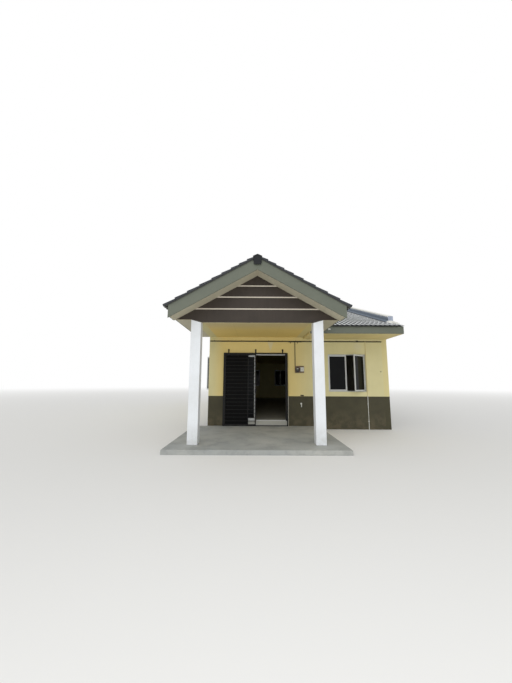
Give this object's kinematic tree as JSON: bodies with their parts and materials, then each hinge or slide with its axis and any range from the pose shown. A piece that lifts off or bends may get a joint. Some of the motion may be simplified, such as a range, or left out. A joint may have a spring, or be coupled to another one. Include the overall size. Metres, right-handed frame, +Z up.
{
  "type": "single-storey terraced house",
  "caption": "End house of a single-storey row with a gabled car porch on two columns, low tiled roof, sliding glass door behind a sliding steel grille, and a plain party wall",
  "frame": {"origin": "on the ground, on the porch centreline, at the outer face of the front wall", "axes": "+X along the street towards the party wall, +Y into the house, +Z up"},
  "size_m": [6.41, 17.72, 6.1213],
  "materials": {
    "concrete": "float-finished concrete",
    "wall_paint": "matt masonry paint with a dark dado",
    "column_paint": "matt white masonry paint",
    "gable_paint": "matt masonry paint",
    "party_paint": "matt masonry paint",
    "trim_paint": "satin paint",
    "roof_tile": "pressed concrete tile",
    "fascia_paint": "satin paint",
    "soffit_board": "painted board",
    "aluminium": "natural anodised",
    "glass": "clear float",
    "black_steel": "black enamel",
    "door_paint": "satin paint",
    "meter_plastic": "moulded",
    "cable_sheath": "weathered",
    "white_plastic": "pipe"
  },
  "bodies": {
    "house": {"porch_floor": "concrete", "house_floor": "concrete", "column_left": "column_paint", "column_right": "column_paint", "porch_beam_left": "wall_paint", "porch_beam_right": "wall_paint", "gable_wall": "gable_paint", "gable_strips": "trim_paint", "porch_ceiling": "soffit_board", "porch_roof_left": "roof_tile", "porch_roof_right": "roof_tile", "porch_ridge_cap": "roof_tile", "barge_board_left": "fascia_paint", "barge_board_right": "fascia_paint", "verge_soffit": "trim_paint", "porch_fascias": "fascia_paint", "porch_side_soffits": "trim_paint", "front_wall_left": "wall_paint", "front_wall_right": "wall_paint", "front_wall_over_door": "wall_paint", "side_wall": "wall_paint", "rear_wall_left": "wall_paint", "rear_wall_right": "wall_paint", "rear_wall_over_door": "wall_paint", "party_wall": "party_paint", "main_roof_front": "roof_tile", "main_roof_rear": "roof_tile", "main_ridge_cap": "roof_tile", "main_fascia_front": "fascia_paint", "main_fascia_rear": "fascia_paint", "eave_soffit_front": "soffit_board", "eave_soffit_rear": "soffit_board", "eave_end_plates": "fascia_paint", "main_barge_left": "fascia_paint", "room_ceiling": "soffit_board", "door_frame": "aluminium", "door_fixed_glass": "glass", "grille_frame": "black_steel", "grille_brackets": "black_steel", "front_window": "aluminium", "side_windows": "aluminium", "rear_windows": "aluminium", "window_glass": "glass", "rear_door": "door_paint", "meter_box": "meter_plastic", "wall_cable": "cable_sheath", "wall_tap": "white_plastic"},
    "sliding_door": {"sliding_leaf": "aluminium", "sliding_leaf_glass": "glass"},
    "sliding_grille": {"grille_leaf": "black_steel"}
  },
  "joints": [
    {"name": "sliding_door_slide", "type": "slide", "parent": "house", "child": "sliding_door", "axis": [1, 0, 0], "range_m": [0, 0.94]},
    {"name": "sliding_grille_slide", "type": "slide", "parent": "house", "child": "sliding_grille", "axis": [1, 0, 0], "range_m": [0, 0.97]}
  ]
}
